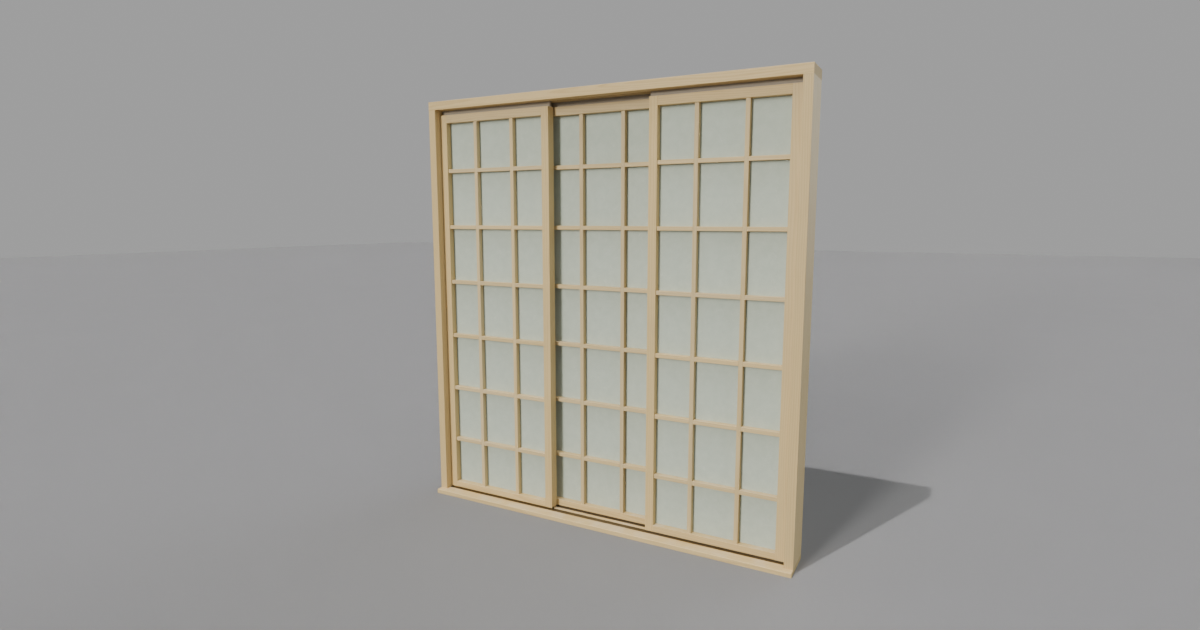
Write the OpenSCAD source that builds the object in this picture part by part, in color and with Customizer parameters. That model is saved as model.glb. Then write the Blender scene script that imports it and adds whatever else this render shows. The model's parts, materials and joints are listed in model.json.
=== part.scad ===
// Sliding screen: three paper panels on two tracks, in a frame of head, sill and jambs.
// The front faces -Y, +Z is up, and the origin is under the middle of the frame.
// Panels 0 and 2 run in the front track, and panel 1 runs in the rear track.

/* [Frame] */
// Width over both jambs
overall_w = 1820; // [1500:10:2200]
// Height from the ground to the top of the head
overall_h = 1976; // [1600:2:2400]
// Depth of the head and the jambs
frame_depth = 152; // [145:1:200]
// Face width of each jamb
jamb_w = 38; // [32:1:60]
// Face height of the head
head_h = 39; // [34:1:60]
// Thickness of the sill
sill_t = 20; // [18:1:32]
// How far the sill stands out in front of the jambs
nosing = 30; // [10:1:60]

/* [Tracks] */
// From the front of the jambs to the face of the front panels
panel_setback = 37; // [30:1:42]
// From the face of a front panel to the face of the rear panel
track_pitch = 48; // [48:1:52]
// How far each sill groove starts in front of its panel's face
groove_lead = 13; // [8:1:20]
// Depth of the sill grooves
sill_groove_d = 9; // [8:0.5:12]
// How far each track strip lies below the top of the sill
track_sink = 2; // [1:0.5:3]
// Thickness of a track strip under the runner
track_floor_t = 3; // [2:0.5:3.5]
// Depth of the head grooves
head_groove_d = 18; // [14:1:24]
// Gap on each side of a runner in its groove
runner_gap = 0.5; // [0.3:0.1:1.5]

/* [Panels] */
// Length by which neighbouring panels overlap
panel_overlap = 61; // [40:1:90]
// Thickness of the panel frames
panel_t = 45; // [42:0.5:46]
// Face width of the stiles
stile_w = 38; // [32:1:60]
// Face height of the top rails
top_rail_h = 38; // [30:1:90]
// Face height of the bottom rails
bottom_rail_h = 29; // [24:1:200]
// Gap between the head and the shoulder of a panel
head_gap = 22; // [12:1:30]
// Gap between the sill and the underside of a panel
foot_gap = 6; // [3:0.5:10]
// How far the centre panel stands from the middle of the frame
centre_shift = -6; // [-40:1:40]
// How far the right panel stands open
right_opening = 6; // [0:1:60]
// Gap between a closed panel and its jamb
closing_gap = 0.5; // [0.3:0.1:3]

/* [Runners] */
// How far the foot runner lies behind the panel's face
foot_runner_setback = 4; // [3:0.5:8]
// Thickness of the foot runner
foot_runner_t = 10.5; // [8:0.5:14]
// How far the foot runner is let into the stiles and the bottom rail
foot_runner_let_in = 4; // [3:0.5:4]
// How far the head runner lies behind the panel's face
head_runner_setback = 15.5; // [12:0.5:18]
// Thickness of the head runner
head_runner_t = 14; // [10:0.5:16]
// How far the head runner reaches into its groove
head_runner_bite = 10; // [8:1:12]

/* [Lattice] */
// Number of upright bars in each panel
upright_count = 2; // [1:1:4]
// Number of cross bars in each panel
cross_count = 6; // [1:1:8]
// Face width of the bars
bar_w = 18; // [14:1:26]
// How far the bars lie behind the panel's face
bar_setback = 5; // [2:1:8]
// From the panel's face to the paper on the back of the bars
paper_setback = 30; // [28:1:36]
// Thickness of the paper
paper_t = 0.5; // [0.3:0.1:1]
// Outermost spaces as a share of the spacing of the upright bars
side_space_share = 0.81; // [0.7:0.01:1]
// Outermost spaces as a share of the spacing of the cross bars
end_space_share = 0.84; // [0.7:0.01:1]

/* [Joinery] */
// Width of the rebate that the paper is pasted into
rebate_w = 10; // [6:1:12]
// Length of the stub tenons on the bars
bar_tenon_l = 8; // [5:1:10]
// Shoulder around the stub tenons on the bars
bar_shoulder = 4; // [3:0.5:5]
// Length of the tenons on the rails
rail_tenon_l = 26; // [18:1:28]
// Thickness of the tenons on the rails
rail_tenon_t = 12; // [8:1:14]
// How far the rail tenons lie behind the panel's face
rail_tenon_setback = 12; // [10:1:16]
// Shoulder above and below the tenons on the rails
rail_shoulder = 6; // [4:1:8]
// Length of the stub tenons on the jambs
jamb_tenon_l = 10; // [6:1:12]
// Shoulder at the sides of the jamb tenons
jamb_shoulder = 9; // [7:1:11]
// Shoulder in front of and behind the jamb tenons
jamb_end_shoulder = 34; // [30:1:45]
// Gap around a tenon in its mortise
joint_gap = 0.1; // [0.05:0.05:0.3]
// Space left past the end of a tenon
tenon_relief = 1; // [0.5:0.5:2]
// Chamfer planed along the long edges of the wood
arris = 0.8; // [0.4:0.1:1.2]
// Chamfer along the upper front edge of the sill
nosing_arris = 2; // [1:0.5:4]

/* [Screws] */
// Length of the screws that hold the frame's corners
screw_l = 70; // [55:5:90]
// Radius of the screws
screw_r = 2.5; // [2:0.25:3]
// Radius of the screw heads
screw_head_r = 5; // [4.5:0.25:6]
// Length of the tapering point of a screw
screw_point_l = 8; // [5:1:10]
// From a jamb's front or back face to the nearest screw
screw_inset = 17; // [14:1:19]
// Gap around a screw in its hole
screw_gap = 0.05; // [0.05:0.05:0.1]

/* [Hidden] */
$fn = 48;
// Extra length by which a cut passes the face it starts from
over = 1;

front_y = -(frame_depth + nosing) / 2 + nosing;
back_y = front_y + frame_depth;
soffit_z = overall_h - head_h;
clear_w = overall_w - 2 * jamb_w;
jamb_h = soffit_z - sill_t;

panel_w = (clear_w + 2 * panel_overlap) / 3;
PANELS = ["left", "centre", "right"];
panel_left_x = [
    -clear_w / 2 + closing_gap,
    centre_shift - panel_w / 2,
    clear_w / 2 - closing_gap - right_opening - panel_w
];
panel_face_y = [
    front_y + panel_setback,
    front_y + panel_setback + track_pitch,
    front_y + panel_setback
];

// Heights of the runners, the panel frame and its opening, the same for every panel
runner_z0 = sill_t - sill_groove_d + track_floor_t;
runner_z1 = soffit_z + head_runner_bite;
shoulder_z0 = sill_t + foot_gap;
shoulder_z1 = soffit_z - head_gap;
open_z0 = shoulder_z0 + bottom_rail_h;
open_z1 = shoulder_z1 - top_rail_h;
open_h = open_z1 - open_z0;
open_w = panel_w - 2 * stile_w;

upright_pitch = open_w / (upright_count - 1 + 2 * side_space_share);
cross_pitch = open_h / (cross_count - 1 + 2 * end_space_share);
bar_d = paper_setback - bar_setback;
lap_d = bar_d / 2;

track_w = groove_lead + foot_runner_setback + foot_runner_t + runner_gap;
track_t = sill_groove_d - track_sink;
lip_w = groove_lead + foot_runner_setback - runner_gap;

screw_head_h = screw_head_r - screw_r;
screw_tip_r = 0.5;
recess_w = 0.9;
recess_l = 5;
recess_d = 1.4;

PIECES = concat(
    ["stile_left", "stile_right", "top_rail", "bottom_rail", "foot_runner", "paper"],
    [for (i = [1:upright_count]) str("upright_bar_", i)],
    [for (i = [1:cross_count]) str("cross_bar_", i)]
);

function upright_x(i) = stile_w + upright_pitch * (side_space_share + i - 1);
function cross_z(i) = open_z0 + cross_pitch * (end_space_share + i - 1);

// Rectangle from the origin with its four corners cut off
module chamfered(w, h, c) {
    polygon([[c, 0], [w - c, 0], [w, c], [w, h - c], [w - c, h], [c, h], [0, h - c], [0, c]]);
}

// Planed lengths of wood: the long edges that run along X or Z are chamfered
module wood_x(l, d, h) {
    rotate([90, 0, 90]) linear_extrude(l) chamfered(d, h, arris);
}

module wood_z(w, d, l) {
    linear_extrude(l) chamfered(w, d, arris);
}

// Block that a mortise is cut with: the tenon's size with the gap all round
module mortise(at, size) {
    translate(at - [joint_gap, joint_gap, joint_gap]) cube(size + 2 * [joint_gap, joint_gap, joint_gap]);
}

// ---- Frame ----

module jamb_tenon_cut(x, z) {
    mortise(
        [x + jamb_shoulder, front_y + jamb_end_shoulder, z],
        [jamb_w - 2 * jamb_shoulder, frame_depth - 2 * jamb_end_shoulder, jamb_tenon_l + tenon_relief]
    );
}

module jamb_tenon(x, z) {
    translate([x + jamb_shoulder, front_y + jamb_end_shoulder, z])
        cube([jamb_w - 2 * jamb_shoulder, frame_depth - 2 * jamb_end_shoulder, jamb_tenon_l]);
}

// Screw pointing down from the origin, where the top of its head lies
module screw_body(gap) {
    translate([0, 0, -screw_head_h]) cylinder(screw_head_h, screw_r + gap, screw_head_r + gap);
    translate([0, 0, -screw_l + screw_point_l]) cylinder(screw_l - screw_point_l - screw_head_h, r = screw_r + gap);
}

module screw() {
    difference() {
        union() {
            screw_body(0);
            translate([0, 0, -screw_l]) cylinder(screw_point_l, screw_tip_r, screw_r);
        }
        translate([-recess_l / 2, -recess_w / 2, -recess_d]) cube([recess_l, recess_w, recess_d + over]);
        translate([-recess_w / 2, -recess_l / 2, -recess_d]) cube([recess_w, recess_l, recess_d + over]);
    }
}

// Hole for one screw, down to the end of its point
module screw_hole() {
    screw_body(screw_gap);
    translate([0, 0, -screw_l - tenon_relief]) cylinder(screw_point_l + tenon_relief + over, r = screw_r + screw_gap);
    cylinder(over, r = screw_head_r + screw_gap);
}

// Puts a child at each screw: through the head from above, or through the sill from below
module at_screws(from_above) {
    for (x = [-(overall_w - jamb_w) / 2, (overall_w - jamb_w) / 2])
        for (y = [front_y + screw_inset, back_y - screw_inset])
            if (from_above) translate([x, y, overall_h]) children();
            else translate([x, y, 0]) mirror([0, 0, 1]) children();
}

module head() {
    color("#c3ae88") difference() {
        translate([-overall_w / 2, front_y, soffit_z]) wood_x(overall_w, frame_depth, head_h);
        for (p = [0, 1])
            translate([-clear_w / 2, panel_face_y[p] + head_runner_setback - runner_gap, soffit_z - over])
                cube([clear_w, head_runner_t + 2 * runner_gap, head_groove_d + over]);
        jamb_tenon_cut(-overall_w / 2, soffit_z);
        jamb_tenon_cut(overall_w / 2 - jamb_w, soffit_z);
        at_screws(true) screw_hole();
    }
}

module sill_section() {
    d = frame_depth + nosing;
    polygon([
        [0, 0], [d, 0], [d, sill_t], [nosing_arris, sill_t], [0, sill_t - nosing_arris]
    ]);
}

module sill() {
    color("#d5c9af") difference() {
        translate([-overall_w / 2, front_y - nosing, 0])
            rotate([90, 0, 90]) linear_extrude(overall_w) sill_section();
        for (p = [0, 1])
            translate([-clear_w / 2, panel_face_y[p] - groove_lead, sill_t - sill_groove_d])
                cube([clear_w, track_w, sill_groove_d + over]);
        jamb_tenon_cut(-overall_w / 2, sill_t - jamb_tenon_l - tenon_relief);
        jamb_tenon_cut(overall_w / 2 - jamb_w, sill_t - jamb_tenon_l - tenon_relief);
        at_screws(false) screw_hole();
    }
}

module jamb(x) {
    color("#c3ae88") difference() {
        union() {
            translate([x, front_y, sill_t]) wood_z(jamb_w, frame_depth, jamb_h);
            jamb_tenon(x, soffit_z);
            jamb_tenon(x, sill_t - jamb_tenon_l);
        }
        at_screws(true) screw_hole();
        at_screws(false) screw_hole();
    }
}

// Strip in a sill groove: a raised lip in front, and the floor that a runner slides on
module track(p) {
    y = panel_face_y[p] - groove_lead;
    color("#5a4623") translate([-clear_w / 2, y, sill_t - sill_groove_d]) {
        difference() {
            cube([clear_w, track_w, track_t]);
            translate([-over, lip_w, track_floor_t]) cube([clear_w + 2 * over, track_w, track_t]);
        }
    }
}

module frame_screws() {
    color("#b9a26a") {
        at_screws(true) screw();
        at_screws(false) screw();
    }
}

// ---- Panels ----

// What is cut away in front of and behind the head runner, over the length w from x
module head_runner_cheeks(x, w, face_y) {
    translate([x - over, face_y - over, shoulder_z1])
        cube([w + 2 * over, head_runner_setback + over, runner_z1 - shoulder_z1 + over]);
    translate([x - over, face_y + head_runner_setback + head_runner_t, shoulder_z1])
        cube([w + 2 * over, panel_t, runner_z1 - shoulder_z1 + over]);
}

// Groove in the underside of the panel frame that holds the foot runner
module foot_runner_groove(x, w, face_y) {
    translate([x - over, face_y + foot_runner_setback - joint_gap, shoulder_z0 - over])
        cube([w + 2 * over, foot_runner_t + 2 * joint_gap, foot_runner_let_in + joint_gap + over]);
}

// Rebate around the back of the opening, which the paper lies in
module paper_rebate(p) {
    translate([
        panel_left_x[p] + stile_w - rebate_w,
        panel_face_y[p] + paper_setback,
        open_z0 - rebate_w
    ])
        cube([open_w + 2 * rebate_w, panel_t, open_h + 2 * rebate_w]);
}

function rail_tenon_y(p) = panel_face_y[p] + rail_tenon_setback;
function bar_tenon_y(p) = panel_face_y[p] + bar_setback + bar_shoulder;

// Size and place of each tenon at the ends of the rails, as [lowest corner, size]
function rail_tenon(p, z0, h, reach) = [
    [panel_left_x[p] + stile_w - reach, rail_tenon_y(p), z0 + rail_shoulder],
    [open_w + 2 * reach, rail_tenon_t, h - 2 * rail_shoulder]
];

// Both tenons of a cross bar, as one block from end to end
function cross_tenon(p, i, reach) = [
    [panel_left_x[p] + stile_w - reach, bar_tenon_y(p), cross_z(i) - bar_w / 2 + bar_shoulder],
    [open_w + 2 * reach, bar_d - 2 * bar_shoulder, bar_w - 2 * bar_shoulder]
];

// Both tenons of an upright bar, as one block from end to end
function upright_tenon(p, i, reach) = [
    [panel_left_x[p] + upright_x(i) - bar_w / 2 + bar_shoulder, bar_tenon_y(p), open_z0 - reach],
    [bar_w - 2 * bar_shoulder, bar_d - 2 * bar_shoulder, open_h + 2 * reach]
];

module block(b) {
    translate(b[0]) cube(b[1]);
}

module stile(p, side) {
    x = panel_left_x[p] + side * (panel_w - stile_w);
    color("#c6b18c") difference() {
        translate([x, panel_face_y[p], shoulder_z0]) wood_z(stile_w, panel_t, runner_z1 - shoulder_z0);
        head_runner_cheeks(x, stile_w, panel_face_y[p]);
        foot_runner_groove(x, stile_w, panel_face_y[p]);
        paper_rebate(p);
        top = rail_tenon(p, open_z1, top_rail_h, rail_tenon_l + tenon_relief);
        mortise(top[0], top[1]);
        bottom = rail_tenon(p, shoulder_z0, bottom_rail_h, rail_tenon_l + tenon_relief);
        mortise(bottom[0], bottom[1]);
        for (i = [1:cross_count]) {
            bar = cross_tenon(p, i, bar_tenon_l + tenon_relief);
            mortise(bar[0], bar[1]);
        }
    }
}

module upright_mortises(p) {
    for (i = [1:upright_count]) {
        bar = upright_tenon(p, i, bar_tenon_l + tenon_relief);
        mortise(bar[0], bar[1]);
    }
}

module top_rail(p) {
    color("#c6b18c") difference() {
        union() {
            translate([panel_left_x[p] + stile_w, panel_face_y[p], open_z1])
                wood_x(open_w, panel_t, runner_z1 - open_z1);
            block(rail_tenon(p, open_z1, top_rail_h, rail_tenon_l));
        }
        head_runner_cheeks(panel_left_x[p] + stile_w, open_w, panel_face_y[p]);
        paper_rebate(p);
        upright_mortises(p);
    }
}

module bottom_rail(p) {
    color("#c6b18c") difference() {
        union() {
            translate([panel_left_x[p] + stile_w, panel_face_y[p], shoulder_z0])
                wood_x(open_w, panel_t, bottom_rail_h);
            block(rail_tenon(p, shoulder_z0, bottom_rail_h, rail_tenon_l));
        }
        foot_runner_groove(panel_left_x[p] + stile_w, open_w, panel_face_y[p]);
        paper_rebate(p);
        upright_mortises(p);
    }
}

// Hard strip that the panel slides on, let into the underside of its frame
module foot_runner(p) {
    color("#5a4623")
        translate([panel_left_x[p], panel_face_y[p] + foot_runner_setback, runner_z0])
            cube([panel_w, foot_runner_t, shoulder_z0 - runner_z0 + foot_runner_let_in]);
}

// Upright bars keep their front half at each crossing
module upright_bar(p, i) {
    x = panel_left_x[p] + upright_x(i) - bar_w / 2;
    y = panel_face_y[p] + bar_setback;
    color("#cbb795") difference() {
        union() {
            translate([x, y, open_z0]) wood_z(bar_w, bar_d, open_h);
            block(upright_tenon(p, i, bar_tenon_l));
        }
        for (k = [1:cross_count])
            translate([x - over, y + lap_d, cross_z(k) - bar_w / 2 - joint_gap])
                cube([bar_w + 2 * over, bar_d, bar_w + 2 * joint_gap]);
    }
}

// Cross bars keep their rear half at each crossing
module cross_bar(p, i) {
    y = panel_face_y[p] + bar_setback;
    z = cross_z(i) - bar_w / 2;
    color("#cbb795") difference() {
        union() {
            translate([panel_left_x[p] + stile_w, y, z]) wood_x(open_w, bar_d, bar_w);
            block(cross_tenon(p, i, bar_tenon_l));
        }
        for (k = [1:upright_count])
            translate([panel_left_x[p] + upright_x(k) - bar_w / 2 - joint_gap, y - over, z - over])
                cube([bar_w + 2 * joint_gap, lap_d + over, bar_w + 2 * over]);
    }
}

// Sheet pasted on the back of the bars, inside the rebate
module paper(p) {
    color("#b2b6ac")
        translate([
            panel_left_x[p] + stile_w - rebate_w + joint_gap,
            panel_face_y[p] + paper_setback,
            open_z0 - rebate_w + joint_gap
        ])
            cube([
                open_w + 2 * rebate_w - 2 * joint_gap,
                paper_t,
                open_h + 2 * rebate_w - 2 * joint_gap
            ]);
}

head();
sill();
jamb(-overall_w / 2);  // left_jamb
jamb(overall_w / 2 - jamb_w);  // right_jamb
track(0);  // front_track
track(1);  // rear_track
frame_screws();
for (p = [0:len(PANELS) - 1]) {
    name = str(PANELS[p], "_panel_");
    stile(p, 0);
    stile(p, 1);
    top_rail(p);
    bottom_rail(p);
    foot_runner(p);
    paper(p);
    for (i = [1:upright_count])
        upright_bar(p, i);
    for (i = [1:cross_count])
        cross_bar(p, i);
}
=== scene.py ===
"""Finishes of the sliding screen: planed timber, dark track strips, paper sheets and brass screws."""

import json
import math
import random

import bpy
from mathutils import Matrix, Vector


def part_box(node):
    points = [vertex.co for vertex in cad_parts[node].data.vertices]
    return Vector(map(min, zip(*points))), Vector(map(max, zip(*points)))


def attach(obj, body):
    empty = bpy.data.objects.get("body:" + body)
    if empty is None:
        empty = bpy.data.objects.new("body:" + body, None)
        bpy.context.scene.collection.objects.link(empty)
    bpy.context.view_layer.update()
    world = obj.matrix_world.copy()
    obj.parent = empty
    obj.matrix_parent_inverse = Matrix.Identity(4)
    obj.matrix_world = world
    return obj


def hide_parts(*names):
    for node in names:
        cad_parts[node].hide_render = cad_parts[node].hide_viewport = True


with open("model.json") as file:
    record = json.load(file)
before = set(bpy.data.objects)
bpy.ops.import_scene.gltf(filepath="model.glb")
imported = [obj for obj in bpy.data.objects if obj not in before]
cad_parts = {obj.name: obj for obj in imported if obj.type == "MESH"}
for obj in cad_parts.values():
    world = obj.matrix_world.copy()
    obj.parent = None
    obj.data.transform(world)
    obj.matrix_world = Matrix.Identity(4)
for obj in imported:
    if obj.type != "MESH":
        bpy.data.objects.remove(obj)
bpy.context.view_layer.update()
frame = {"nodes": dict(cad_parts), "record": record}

MM = 0.001
RECORD = frame["record"]
SLOT_OF = {row["node"]: row["material_slot"] for row in RECORD["subparts"]}
PANELS = ("left_panel", "centre_panel", "right_panel")

HEAD_LOW, HEAD_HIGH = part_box("head")
WIDTH = HEAD_HIGH.x - HEAD_LOW.x
JAMB_FRONT = HEAD_LOW.y


# ---- Camera, lights and floor ----

# The eye's place, as shares of the screen's width, its aim in degrees and its lens in millimetres
EYE_RIGHT = 0.780
EYE_BACK = 1.432
EYE_HEIGHT = 0.775
EYE_HEADING = 28.0
EYE_DIP = 8.0
LENS = 20.28
SENSOR = 36.0

WHITE = (1.0, 1.0, 1.0)
WARM = (1.0, 0.985, 0.95)
COOL = (0.97, 0.985, 1.0)
SKY_BLUE = (0.88, 0.95, 1.0)
WINDOW_BLUE = (0.68, 0.86, 1.0)

# The front light comes in steps: how high each one stands, in degrees, and its strength
FRONT_STEPS = ((8.0, 1.56), (20.0, 1.02), (34.0, 0.38))
FRONT_ACROSS = (0.23, 1.0)
FRONT_RUN = 1.03
HIGH_FALL = (0.23, 0.56, -1.0)
BACKDROP = 0.39
FLOOR_SIZE = 60.0


def add_camera():
    """Stands to the right of the screen at eye height, and looks across it and slightly down."""
    data = bpy.data.cameras.new("camera")
    data.lens = LENS
    data.sensor_width = SENSOR
    camera = bpy.data.objects.new("camera", data)
    camera.location = (EYE_RIGHT * WIDTH, JAMB_FRONT - EYE_BACK * WIDTH, EYE_HEIGHT * WIDTH)
    camera.rotation_euler = (math.pi / 2 - math.radians(EYE_DIP), 0.0, math.radians(EYE_HEADING))
    bpy.context.scene.collection.objects.link(camera)
    bpy.context.scene.camera = camera


def add_sun(name, towards, strength, softness, colour):
    """A distant lamp that shines towards a direction. Its softness is its breadth in degrees."""
    data = bpy.data.lights.new(name, "SUN")
    data.energy = strength
    data.angle = math.radians(softness)
    data.color = colour
    lamp = bpy.data.objects.new(name, data)
    lamp.rotation_euler = Vector(towards).to_track_quat("-Z", "Y").to_euler()
    bpy.context.scene.collection.objects.link(lamp)
    return lamp


def add_sky(colour, strength, backdrop):
    """An even dome of light, seen by the camera as a plain backdrop."""
    world = bpy.data.worlds.new("studio")
    world.use_nodes = True
    tree = world.node_tree
    light = tree.nodes["Background"]
    light.inputs["Color"].default_value = (*colour, 1.0)
    light.inputs["Strength"].default_value = strength
    seen = tree.nodes.new("ShaderNodeBackground")
    seen.inputs["Color"].default_value = (backdrop, backdrop, backdrop, 1.0)
    rays = tree.nodes.new("ShaderNodeLightPath")
    mix = tree.nodes.new("ShaderNodeMixShader")
    tree.links.new(rays.outputs["Is Camera Ray"], mix.inputs[0])
    tree.links.new(light.outputs[0], mix.inputs[1])
    tree.links.new(seen.outputs[0], mix.inputs[2])
    tree.links.new(mix.outputs[0], tree.nodes["World Output"].inputs["Surface"])
    bpy.context.scene.world = world


def add_floor():
    """A wide grey floor, just under the sill."""
    bpy.ops.object.select_all(action="DESELECT")
    bpy.ops.mesh.primitive_plane_add(size=FLOOR_SIZE, location=(0.0, 0.0, -0.5 * MM))
    floor = bpy.context.object
    floor.name = "studio_floor"
    floor.data.materials.append(floor_paint())
    return floor


def light_on(lamp, thing, state):
    """Keeps a lamp's light to one thing (INCLUDE) or off it (EXCLUDE). Shadows fall as before."""
    group = bpy.data.collections.new(lamp.name + "_receiver")
    group.objects.link(thing)
    group.collection_objects[0].light_linking.link_state = state
    lamp.light_linking.receiver_collection = group


def add_studio():
    """Lights for the screen and the floor. Two of them keep off the floor, and two light it alone."""
    for lift, strength in FRONT_STEPS:
        drop = -FRONT_RUN * math.tan(math.radians(lift))
        add_sun("front_%d" % lift, (*FRONT_ACROSS, drop), strength, softness=9.0, colour=WARM)
    add_sun("high", HIGH_FALL, strength=0.45, softness=3.0, colour=WARM)
    add_sun("back_fill", (-0.45, -1.0, -0.42), strength=1.5, softness=50.0, colour=COOL)
    add_sky(SKY_BLUE, strength=0.15, backdrop=BACKDROP)
    floor = add_floor()

    right = add_sun("right_fill", (-1.0, 0.12, -0.25), strength=0.92, softness=34.0, colour=WINDOW_BLUE)
    light_on(right, floor, "EXCLUDE")
    top = add_sun("top", (0.04, 0.13, -1.0), strength=3.5, softness=25.0, colour=WHITE)
    light_on(top, floor, "EXCLUDE")
    shadow = add_sun("floor_shadow", HIGH_FALL, strength=1.66, softness=0.8, colour=(1.0, 0.99, 0.975))
    light_on(shadow, floor, "INCLUDE")
    fill = add_sun("floor_fill", (-1.0, 0.06, -1.0), strength=0.57, softness=60.0, colour=(1.0, 0.93, 0.85))
    light_on(fill, floor, "INCLUDE")


# ---- Building blocks for the materials ----

class Graph:
    """Short calls for adding nodes to one node tree."""

    def __init__(self, tree):
        self.tree = tree

    def put(self, socket, value):
        if isinstance(value, bpy.types.NodeSocket):
            self.tree.links.new(value, socket)
        else:
            socket.default_value = value

    def node(self, kind, inputs=None, **settings):
        made = self.tree.nodes.new(kind)
        for name, value in settings.items():
            setattr(made, name, value)
        for name, value in (inputs or {}).items():
            self.put(made.inputs[name], value)
        return made

    def place(self):
        """Object coordinates, in metres."""
        return self.node("ShaderNodeTexCoord").outputs["Object"]

    def parts(self, vector):
        """The three parts of a vector, in the order X, Y and Z."""
        return self.node("ShaderNodeSeparateXYZ", {0: vector}).outputs

    def math(self, operation, a, b=0.0, clamp=False):
        made = self.node("ShaderNodeMath", {0: a, 1: b}, operation=operation, use_clamp=clamp)
        return made.outputs[0]

    def vector(self, operation, a, b=(0.0, 0.0, 0.0)):
        made = self.node("ShaderNodeVectorMath", {0: a, 1: b}, operation=operation)
        return made.outputs["Value" if operation in ("LENGTH", "DOT_PRODUCT") else "Vector"]

    def noise(self, vector, scale, detail=2.0, roughness=0.5, distortion=0.0):
        made = self.node(
            "ShaderNodeTexNoise",
            {
                "Vector": vector,
                "Scale": scale,
                "Detail": detail,
                "Roughness": roughness,
                "Distortion": distortion,
            },
        )
        return made.outputs["Fac"]

    def streaks(self, vector, per_metre, detail, roughness=0.5):
        """Noise with its own number of waves per metre along each axis."""
        return self.noise(self.vector("MULTIPLY", vector, per_metre), 1.0, detail, roughness)

    def ramp(self, value, low, high, to_low=0.0, to_high=1.0):
        """Smooth step of a value from one range to another."""
        made = self.node(
            "ShaderNodeMapRange",
            {"Value": value, "From Min": low, "From Max": high, "To Min": to_low, "To Max": to_high},
            interpolation_type="SMOOTHSTEP",
        )
        return made.outputs["Result"]

    def mix(self, factor, a, b):
        """Mixes two colours."""
        made = self.node("ShaderNodeMix", data_type="RGBA")
        self.put(made.inputs["Factor"], factor)
        self.put(made.inputs[6], a)
        self.put(made.inputs[7], b)
        return made.outputs[2]

    def bump(self, height, strength, distance):
        """The surface's normal, with a height laid on it."""
        made = self.node("ShaderNodeBump", {"Height": height, "Strength": strength, "Distance": distance})
        return made.outputs["Normal"]


def new_group(name, inputs, outputs):
    """Makes a node group that puts out values, and returns its graph, input node and output node."""
    tree = bpy.data.node_groups.new(name, "ShaderNodeTree")
    for label, kind, default in inputs:
        socket = tree.interface.new_socket(label, in_out="INPUT", socket_type=kind)
        if default is not None:
            socket.default_value = default
    for label in outputs:
        tree.interface.new_socket(label, in_out="OUTPUT", socket_type="NodeSocketFloat")
    g = Graph(tree)
    return g, g.node("NodeGroupInput"), g.node("NodeGroupOutput")


def new_material(name):
    """Makes a material, and returns it with its graph and its Principled BSDF."""
    material = bpy.data.materials.new(name)
    material.use_nodes = True
    return material, Graph(material.node_tree), material.node_tree.nodes["Principled BSDF"]


def use_group(g, group, inputs):
    """Places a node group in a material, and returns what it puts out."""
    made = g.node("ShaderNodeGroup")
    made.node_tree = group
    for name, value in inputs.items():
        g.put(made.inputs[name], value)
    return made.outputs


# How far the rings of a trunk that isn't quite straight wander to each side
TRUNK_SWAY = 60.0 * MM


def grain_group():
    """Growth rings and fibres of a board whose length is X, with the trunk's heart at the origin."""
    g, source, result = new_group(
        "sawn_grain",
        [("Vector", "NodeSocketVector", None), ("Ring Width", "NodeSocketFloat", 6.0 * MM)],
        ["Rings", "Fibre", "Tone", "Height"],
    )
    place = source.outputs["Vector"]

    # Rings lie around the heart, and wander slowly along the board
    slow = g.vector("MULTIPLY", place, (0.55, 2.6, 2.6))
    wander = g.node("ShaderNodeTexNoise", {"Vector": slow, "Scale": 1.6, "Detail": 2.0, "Roughness": 0.45})
    centred = g.vector("SUBTRACT", wander.outputs["Color"], (0.5, 0.5, 0.5))
    drift = g.vector("MULTIPLY", centred, (0.0, TRUNK_SWAY, TRUNK_SWAY))
    across = g.vector("ADD", g.vector("MULTIPLY", place, (0.0, 1.0, 1.0)), drift)
    count = g.math("DIVIDE", g.vector("LENGTH", across), source.outputs["Ring Width"])
    uneven = g.streaks(place, (5.0, 60.0, 60.0), 3.0, 0.6)
    turn = g.math("FRACT", g.math("ADD", count, g.math("MULTIPLY", uneven, 0.55)))

    # Within a ring, the wood darkens slowly and ends sharply
    late = g.ramp(turn, 0.30, 0.86)
    after = g.ramp(turn, 0.88, 1.0, 1.0, 0.0)
    rings = g.math("MULTIPLY", late, after)
    g.put(result.inputs["Rings"], rings)

    # Fibres: fine streaks, with short darker dashes where the pores were cut open
    fine = g.streaks(place, (9.0, 520.0, 520.0), 4.0, 0.62)
    dashes = g.ramp(g.streaks(place, (26.0, 1150.0, 1150.0), 2.0), 0.60, 0.74)
    fibre = g.math("ADD", g.ramp(fine, 0.28, 0.72), g.math("MULTIPLY", dashes, 0.45), clamp=True)
    g.put(result.inputs["Fibre"], fibre)

    # Slow change of tone along and across the board
    g.put(result.inputs["Tone"], g.streaks(place, (1.1, 9.0, 9.0), 3.0, 0.55))

    height = g.math("ADD", g.math("MULTIPLY", rings, 0.6), g.math("MULTIPLY", fibre, 0.4))
    g.put(result.inputs["Height"], height)
    return g.tree


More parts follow.
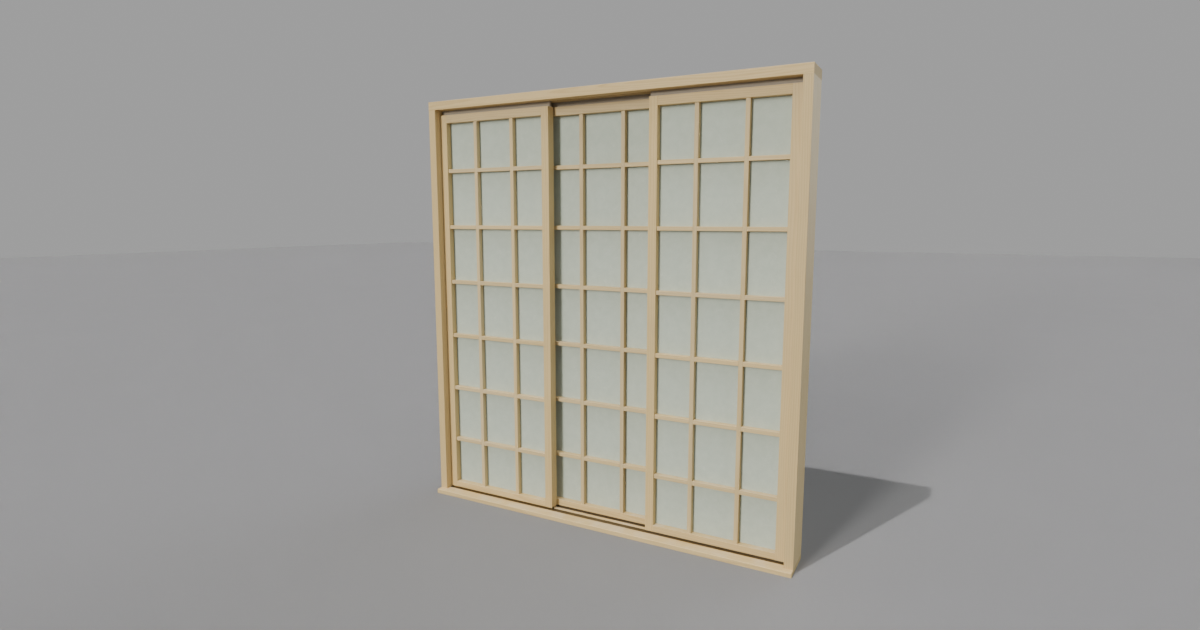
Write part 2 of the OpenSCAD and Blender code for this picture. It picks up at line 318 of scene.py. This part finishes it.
def edges_group():
    """Masks from the way a planed surface faces: chamfered edges, end grain and upward faces. The edge and
    upward-face masks carry painted highlight as well as wear and dust.
    """
    g, source, result = new_group(
        "planed_edges",
        [
            ("Normal", "NodeSocketVector", None),
            ("Along", "NodeSocketVector", None),
            ("Vector", "NodeSocketVector", None),
        ],
        ["Arris", "End Grain", "Top Dust And Light"],
    )
    place = source.outputs["Vector"]
    normal = source.outputs["Normal"]

    # A chamfer faces none of the three axes squarely. Chamfers are painted lighter in patches: painted
    # highlight, with wear
    facing = g.parts(g.vector("ABSOLUTE", normal))
    largest = g.math("MAXIMUM", g.math("MAXIMUM", facing[0], facing[1]), facing[2])
    wear_and_painted_light = g.ramp(g.noise(place, 34.0, 3.0, 0.6), 0.25, 0.65, 0.35, 1.0)
    g.put(result.inputs["Arris"], g.math("MULTIPLY", g.ramp(largest, 0.80, 0.95, 1.0, 0.0), wear_and_painted_light))

    lengthwise = g.math("ABSOLUTE", g.vector("DOT_PRODUCT", normal, source.outputs["Along"]))
    g.put(result.inputs["End Grain"], g.ramp(lengthwise, 0.75, 0.95))

    # Upward faces are painted lighter: settled dust and painted highlight
    up = g.ramp(g.parts(normal)[2], 0.6, 0.95)
    top_dust_and_light_patches = g.ramp(g.noise(place, 11.0, 4.0, 0.6), 0.35, 0.75)
    g.put(result.inputs["Top Dust And Light"], g.math("MULTIPLY", up, top_dust_and_light_patches))
    return g.tree


GRAIN = grain_group()
EDGES = edges_group()


# ---- Timber ----

# Light and dark wood of each kind of board, the breadth of its rings, and how strongly they show
TIMBERS = {
    "frame_timber": dict(
        early=(0.600, 0.440, 0.212), late=(0.470, 0.315, 0.134), ring_width=8.5 * MM, contrast=0.55,
    ),
    "panel_timber": dict(
        early=(0.618, 0.452, 0.214), late=(0.492, 0.333, 0.139), ring_width=6.5 * MM, contrast=0.50,
    ),
    "lattice_timber": dict(
        early=(0.630, 0.470, 0.235), late=(0.515, 0.360, 0.163), ring_width=5.0 * MM, contrast=0.45,
    ),
}
# Hardwood strips in the grooves and under the panels: their near-black colour is painted shade
STRIP_PAINTED_SHADE = dict(
    early=(0.085, 0.055, 0.022), late=(0.045, 0.027, 0.010), ring_width=3.5 * MM, contrast=0.6, top_dust_and_light=0.03,
)

# Strength of each layer over the wood's rings. Upward faces take settled dust and painted highlight;
# chamfered edges take painted highlight and wear
TOP_DUST_AND_LIGHT = 0.22
FIBRE_SHARE = 0.16
TONE_SHARE = 0.30
END_SHARE = 0.42
ARRIS_WEAR_AND_HIGHLIGHT = 0.35
TOP_DUST_AND_LIGHT_COLOUR = (0.72, 0.69, 0.63, 1.0)

# The tint of a board is drawn apart from its place in the trunk
TINT_SEED = 500

# A strip's lower part, up to this share of its height, takes the painted groove shade in streaks, and is
# smoother where runners slide on it
GROOVE_SHADE = (0.095, 0.064, 0.028, 1.0)
STRIP_FLOOR = 0.55

# The sill is painted dark in its grooves, as painted shade: from this far below its top, to this far beside
# the strips, and clear of its ends and underside
GROOVE_SHADE_DEPTH = 0.4 * MM
GROOVE_SHADE_MARGIN = 1.2 * MM
GROOVE_SHADE_CLEAR = 1.0 * MM

# The panels' shoulders lie this far below the head, and what stands above them is painted grey-brown, as
# painted shade under the head
SHOULDER_GAP = 22.0 * MM
SHOULDER_CLEAR = 0.3 * MM
RUNNER_SHADE = (0.330, 0.290, 0.235, 1.0)

# Hands meet a stile at this share of its height, and reach this many metres above and below it
HAND_HEIGHT = 0.46
HAND_REACH = 0.24
HAND_GRIME = (0.30, 0.21, 0.12, 1.0)


def board_vectors(g, low, high, seed):
    """Object coordinates with the board's length as X, and the trunk's heart off to one side of it."""
    size = high - low
    upright = size.z > size.x
    rng = random.Random(seed)
    middle = (low + high) / 2
    coordinates = g.node("ShaderNodeTexCoord")
    centred = g.vector("SUBTRACT", coordinates.outputs["Object"], tuple(middle))
    turned = g.node(
        "ShaderNodeMapping",
        {
            "Vector": centred,
            "Rotation": (0.0, math.pi / 2 if upright else 0.0, 0.0),
            "Location": (rng.uniform(-20.0, 20.0), rng.uniform(0.03, 0.09), rng.uniform(-0.05, 0.05)),
        },
    )
    along = (0.0, 0.0, 1.0) if upright else (1.0, 0.0, 0.0)
    return turned.outputs["Vector"], coordinates, along


def sawn_wood(name, node, seed, early, late, ring_width, contrast, top_dust_and_light=TOP_DUST_AND_LIGHT):
    """Material of one board. Returns it with its graph, its shader, its colour and its roughness."""
    material, g, shader = new_material(name)
    low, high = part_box(node)
    vector, coordinates, along = board_vectors(g, low, high, seed)
    grain = use_group(g, GRAIN, {"Vector": vector, "Ring Width": ring_width})
    edges = use_group(
        g, EDGES,
        {"Normal": coordinates.outputs["Normal"], "Along": along, "Vector": coordinates.outputs["Object"]},
    )
    rng = random.Random(seed + TINT_SEED)
    shade = rng.uniform(0.94, 1.05)
    warmth = rng.uniform(-0.012, 0.012)

    def tint(colour, strength=1.0):
        red, green, blue = (min(1.0, value * strength) for value in colour)
        return (red * shade + warmth, green * shade, blue * shade - warmth, 1.0)

    def layer(mask, share, under, over):
        return g.mix(g.math("MULTIPLY", mask, share), under, over)

    colour = layer(grain["Rings"], contrast, tint(early), tint(late))
    colour = layer(grain["Fibre"], FIBRE_SHARE, colour, tint(late, 0.72))
    colour = g.mix(g.ramp(grain["Tone"], 0.3, 0.75, 0.0, TONE_SHARE), colour, tint(early, 0.86))
    colour = layer(edges["End Grain"], END_SHARE, colour, tint(late, 0.60))
    # Lighter chamfered edges and upward faces: painted highlight, with wear and settled dust
    colour = layer(edges["Arris"], ARRIS_WEAR_AND_HIGHLIGHT, colour, tint(early, 1.14))
    colour = layer(edges["Top Dust And Light"], top_dust_and_light, colour, TOP_DUST_AND_LIGHT_COLOUR)

    rough = g.math("ADD", 0.50, g.math("MULTIPLY", grain["Fibre"], 0.16))
    rough = g.math("ADD", rough, g.math("MULTIPLY", edges["End Grain"], 0.18), clamp=True)
    g.put(shader.inputs["Base Color"], colour)
    g.put(shader.inputs["Roughness"], rough)
    g.put(shader.inputs["Normal"], g.bump(grain["Height"], 0.22, 0.35 * MM))
    shader.inputs["Specular IOR Level"].default_value = 0.35
    return material, g, shader, colour, rough


def board(node, seed):
    """A board of the timber that its slot names. Returns what sawn_wood returns."""
    return sawn_wood("timber_" + node, node, seed, **TIMBERS[SLOT_OF[node]])


def plain_timber(node, seed):
    return board(node, seed)[0]


def shaded_runner(g, place, colour):
    """Darkens what stands above a panel's shoulders and runs in the head, in streaks: painted shade under
    the head.
    """
    above = g.math("GREATER_THAN", g.parts(place)[2], HEAD_LOW.z - SHOULDER_GAP + SHOULDER_CLEAR)
    streaks = g.ramp(g.streaks(place, (2.0, 60.0, 160.0), 3.0, 0.6), 0.25, 0.70, 0.78, 0.92)
    return g.mix(g.math("MULTIPLY", above, streaks), colour, RUNNER_SHADE)


def top_rail_timber(node, seed):
    material, g, shader, colour, _ = board(node, seed)
    # Painted shade above the shoulders, where the head overhangs
    g.put(shader.inputs["Base Color"], shaded_runner(g, g.place(), colour))
    return material


def stile_timber(node, seed):
    """A stile: wood a little darker and smoother at hand height, where it is pushed and pulled."""
    low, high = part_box(node)
    material, g, shader, colour, rough = board(node, seed)
    place = g.place()
    hand = low.z + HAND_HEIGHT * (high.z - low.z)
    away = g.math("ABSOLUTE", g.math("SUBTRACT", g.parts(place)[2], hand))
    near = g.ramp(away, 0.0, HAND_REACH, 1.0, 0.0)
    smudged = g.math("MULTIPLY", near, g.ramp(g.noise(place, 9.0, 4.0, 0.6), 0.30, 0.70))
    handled = g.mix(g.math("MULTIPLY", smudged, 0.16), colour, HAND_GRIME)
    # Painted shade above the shoulders, where the head overhangs; the darkening at hand height is grime
    g.put(shader.inputs["Base Color"], shaded_runner(g, place, handled))
    g.put(shader.inputs["Roughness"], g.math("SUBTRACT", rough, g.math("MULTIPLY", smudged, 0.10)))
    return material


def sill_timber(node, seed):
    """The sill: its grooves are painted dark like the strips that lie in them, as painted shade."""
    low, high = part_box(node)
    material, g, shader, colour, _ = board(node, seed)
    place = g.place()
    x, y, z = g.parts(place)
    in_grooves = 0.0
    for strip in ("front_track", "rear_track"):
        strip_low, strip_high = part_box(strip)
        behind = g.math("GREATER_THAN", y, strip_low.y - GROOVE_SHADE_MARGIN)
        before = g.math("LESS_THAN", y, strip_high.y + GROOVE_SHADE_MARGIN)
        in_grooves = g.math("MAXIMUM", in_grooves, g.math("MULTIPLY", behind, before))
    within = g.math("LESS_THAN", g.math("ABSOLUTE", x), high.x - GROOVE_SHADE_CLEAR)
    sunk = g.math("LESS_THAN", z, high.z - GROOVE_SHADE_DEPTH)
    above = g.math("GREATER_THAN", z, low.z + GROOVE_SHADE_CLEAR)
    groove_shade_mask = g.math("MULTIPLY", g.math("MULTIPLY", in_grooves, within), g.math("MULTIPLY", sunk, above))
    patchy = g.ramp(g.streaks(place, (9.0, 60.0, 60.0), 3.0, 0.6), 0.25, 0.65, 0.75, 1.0)
    g.put(shader.inputs["Base Color"], g.mix(g.math("MULTIPLY", groove_shade_mask, patchy), colour, GROOVE_SHADE))
    return material


def runner_wood(node, seed):
    """The hard dark strip under a panel. Its near-black colour is painted shade of the gap beneath the
    panel.
    """
    return sawn_wood("runner_" + node, node, seed, **STRIP_PAINTED_SHADE)[0]


def track_wood(node, seed):
    """A dark strip, its near-black colour painted shade of the groove: its floor takes the painted groove
    shade in streaks, and is smoother where the runners slide.
    """
    low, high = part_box(node)
    material, g, shader, colour, rough = sawn_wood("track_" + node, node, seed, **STRIP_PAINTED_SHADE)
    place = g.place()
    floor_top = low.z + STRIP_FLOOR * (high.z - low.z)
    on_floor = g.math("LESS_THAN", g.parts(place)[2], floor_top)
    # The lower part gets the painted groove shade in streaks; its lower roughness is wear
    rubbed = g.ramp(g.streaks(place, (1.4, 420.0, 1.0), 3.0, 0.6), 0.20, 0.60, 0.55, 1.0)
    wear_and_painted_light = g.math("MULTIPLY", on_floor, rubbed)
    g.put(shader.inputs["Base Color"], g.mix(wear_and_painted_light, colour, GROOVE_SHADE))
    g.put(shader.inputs["Roughness"], g.math("SUBTRACT", rough, g.math("MULTIPLY", wear_and_painted_light, 0.22)))
    return material


# ---- Paper, brass and paint ----

PAPER_THIN = (0.444, 0.494, 0.406, 1.0)
PAPER_THICK = (0.483, 0.532, 0.440, 1.0)
PAPER_FIBRE = (0.62, 0.63, 0.56, 1.0)
BRASS_DULL = (0.36, 0.25, 0.10, 1.0)
BRASS_BRIGHT = (0.62, 0.46, 0.20, 1.0)
FLOOR_DARK = (0.286, 0.286, 0.293, 1.0)
FLOOR_LIGHT = (0.298, 0.298, 0.305, 1.0)

# Three lots of long fibres: the way each one lies, how close together they are, and a shift
FIBRE_LOTS = ((0.5, 46.0, 0.0), (-0.9, 58.0, 3.7), (1.9, 52.0, 8.1))


def washi():
    """Matt paper with long pale fibres, a faint cloud of thicker pulp and a slightly uneven surface."""
    material, g, shader = new_material("washi")
    flat = g.vector("MULTIPLY", g.place(), (1.0, 0.0, 1.0))

    cloud = g.noise(flat, 26.0, 4.0, 0.62)
    strands = []
    for turn, scale, shift in FIBRE_LOTS:
        turned = g.node(
            "ShaderNodeMapping",
            {"Vector": flat, "Rotation": (0.0, turn, 0.0), "Location": (shift, 0.0, shift)},
        )
        drawn = g.vector("MULTIPLY", turned.outputs["Vector"], (1.0, 1.0, 0.22))
        ridge = g.math("ABSOLUTE", g.math("SUBTRACT", g.noise(drawn, scale, 1.0, 0.4, 0.8), 0.5))
        strands.append(g.ramp(ridge, 0.0, 0.012, 1.0, 0.0))
    fibres = g.math("MAXIMUM", g.math("MAXIMUM", strands[0], strands[1]), strands[2])
    broken = g.math("MULTIPLY", fibres, g.ramp(g.noise(flat, 21.0, 2.0), 0.42, 0.66))

    base = g.mix(g.ramp(cloud, 0.30, 0.72), PAPER_THIN, PAPER_THICK)
    g.put(shader.inputs["Base Color"], g.mix(g.math("MULTIPLY", broken, 0.30), base, PAPER_FIBRE))
    g.put(shader.inputs["Roughness"], g.ramp(cloud, 0.2, 0.8, 0.74, 0.86))
    relief = g.math("ADD", g.math("MULTIPLY", cloud, 0.5), g.math("MULTIPLY", broken, 0.5))
    g.put(shader.inputs["Normal"], g.bump(relief, 0.25, 0.15 * MM))
    shader.inputs["Specular IOR Level"].default_value = 0.25
    shader.inputs["Sheen Weight"].default_value = 0.15
    shader.inputs["Sheen Roughness"].default_value = 0.6
    return material


def dull_brass():
    """Screws: brass gone dull in the open, brighter where the driver has rubbed it."""
    material, g, shader = new_material("dull_brass")
    place = g.place()
    mottled = g.noise(place, 420.0, 4.0, 0.6)
    scratched = g.streaks(place, (900.0, 140.0, 900.0), 2.0)
    g.put(shader.inputs["Base Color"], g.mix(g.ramp(mottled, 0.35, 0.70), BRASS_DULL, BRASS_BRIGHT))
    g.put(shader.inputs["Roughness"], g.ramp(scratched, 0.3, 0.7, 0.30, 0.52))
    g.put(shader.inputs["Normal"], g.bump(scratched, 0.2, 0.05 * MM))
    shader.inputs["Metallic"].default_value = 1.0
    return material


def floor_paint():
    """Plain matt grey with a very faint cloud."""
    material, g, shader = new_material("floor_paint")
    cloud = g.noise(g.place(), 1.3, 3.0, 0.5)
    g.put(shader.inputs["Base Color"], g.mix(cloud, FLOOR_DARK, FLOOR_LIGHT))
    shader.inputs["Roughness"].default_value = 0.9
    shader.inputs["Specular IOR Level"].default_value = 0.0
    return material


# ---- Paper sheets ----

# Mesh lines across and up each field between the bars
COLUMN_STEPS = 12
ROW_STEPS = 14

# How far a field swells, and how much its ripple adds to that or takes from it
SWELL_LEAST = 0.35 * MM
SWELL_MOST = 0.75 * MM
RIPPLE = 0.25
RIPPLE_ACROSS = 5.0
RIPPLE_UP = 9.0
FLAT_TOP = 0.7

PAPER_SEED = 70
SMOOTH_BELOW = 35.0


def swell(share):
    """How far a strip of paper stands out between two bars, from 0 at the bars to 1 in the middle."""
    return max(0.0, math.sin(math.pi * min(1.0, max(0.0, share)))) ** FLAT_TOP


def stops_between(low, high, bars):
    """Fields between the bars, from one side of the sheet to the other, as (start, end) pairs."""
    cuts = [low]
    for start, end in sorted(bars):
        cuts += [start, end]
    cuts.append(high)
    return list(zip(cuts[0::2], cuts[1::2]))


def grid_lines(fields, low, high, per_field):
    """Places of the sheet's mesh lines: evenly through each field, with one at each edge of a bar."""
    lines = {low, high}
    for start, end in fields:
        lines.update(start + (end - start) * k / per_field for k in range(per_field + 1))
    return sorted(lines)


def field_of(value, fields):
    """The field that a place lies in, and how far across it. On a bar there is none."""
    for index, (start, end) in enumerate(fields):
        if start <= value <= end:
            return index, (value - start) / (end - start)
    return None, 0.0


def bars_of(panel, kind):
    """Boxes of one panel's upright or cross bars."""
    return [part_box(node) for node in SLOT_OF if node.startswith(panel + kind)]


def sheet_mesh(name, low, high, columns, rows, seed):
    """The front face of a sheet, taut on the bars and swollen by a fraction of a millimetre between them."""
    rng = random.Random(seed)
    cells = [(i, k) for i in range(len(columns)) for k in range(len(rows))]
    depth = {cell: rng.uniform(SWELL_LEAST, SWELL_MOST) for cell in cells}
    phase = {cell: rng.uniform(0.0, 2 * math.pi) for cell in cells}

    def stand_off(x, z):
        i, u = field_of(x, columns)
        k, v = field_of(z, rows)
        if i is None or k is None:
            return 0.0
        up = math.sin(RIPPLE_UP * v + phase[i, k])
        across = math.sin(RIPPLE_ACROSS * u + phase[i, k])
        return depth[i, k] * swell(u) * swell(v) * (1.0 + RIPPLE * up * across)

    xs = grid_lines(columns, low.x, high.x, COLUMN_STEPS)
    zs = grid_lines(rows, low.z, high.z, ROW_STEPS)
    verts = [(x, high.y + stand_off(x, z), z) for z in zs for x in xs]
    line = len(xs)
    faces = [
        (row * line + col, (row + 1) * line + col, (row + 1) * line + col + 1, row * line + col + 1)
        for row in range(len(zs) - 1)
        for col in range(line - 1)
    ]
    mesh = bpy.data.meshes.new(name)
    mesh.from_pydata(verts, [], faces)
    return mesh


def paper_sheet(panel, seed, material):
    """The pasted sheet of one panel."""
    low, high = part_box(panel + "_paper")
    columns = stops_between(low.x, high.x, [(a.x, b.x) for a, b in bars_of(panel, "_upright_bar")])
    rows = stops_between(low.z, high.z, [(a.z, b.z) for a, b in bars_of(panel, "_cross_bar")])
    mesh = sheet_mesh(panel + "_washi", low, high, columns, rows, seed)
    sheet = bpy.data.objects.new(panel + "_washi", mesh)
    bpy.context.scene.collection.objects.link(sheet)
    bpy.ops.object.select_all(action="DESELECT")
    sheet.select_set(True)
    bpy.context.view_layer.objects.active = sheet
    solid = sheet.modifiers.new("thickness", "SOLIDIFY")
    solid.thickness = high.y - low.y
    solid.offset = -1.0
    bpy.ops.object.modifier_apply(modifier=solid.name)
    bpy.ops.object.shade_smooth_by_angle(angle=math.radians(SMOOTH_BELOW))
    sheet.data.materials.append(material)

    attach(sheet, panel)
    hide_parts(panel + "_paper")


# ---- Put together ----

def paint(node, material):
    for slot in frame["nodes"][node].material_slots:
        slot.material = material


def finish_timber():
    for seed, node in enumerate(sorted(SLOT_OF)):
        kind = SLOT_OF[node]
        if "_stile_" in node:
            paint(node, stile_timber(node, seed))
        elif "_top_rail" in node:
            paint(node, top_rail_timber(node, seed))
        elif node == "sill":
            paint(node, sill_timber(node, seed))
        elif kind in TIMBERS:
            paint(node, plain_timber(node, seed))
        elif "_foot_runner" in node:
            paint(node, runner_wood(node, seed))
        elif kind == "track_timber":
            paint(node, track_wood(node, seed))
    paint("frame_screws", dull_brass())


def hang_paper():
    material = washi()
    for number, panel in enumerate(PANELS):
        paper_sheet(panel, PAPER_SEED + number, material)


add_camera()
add_studio()
finish_timber()
hang_paper()
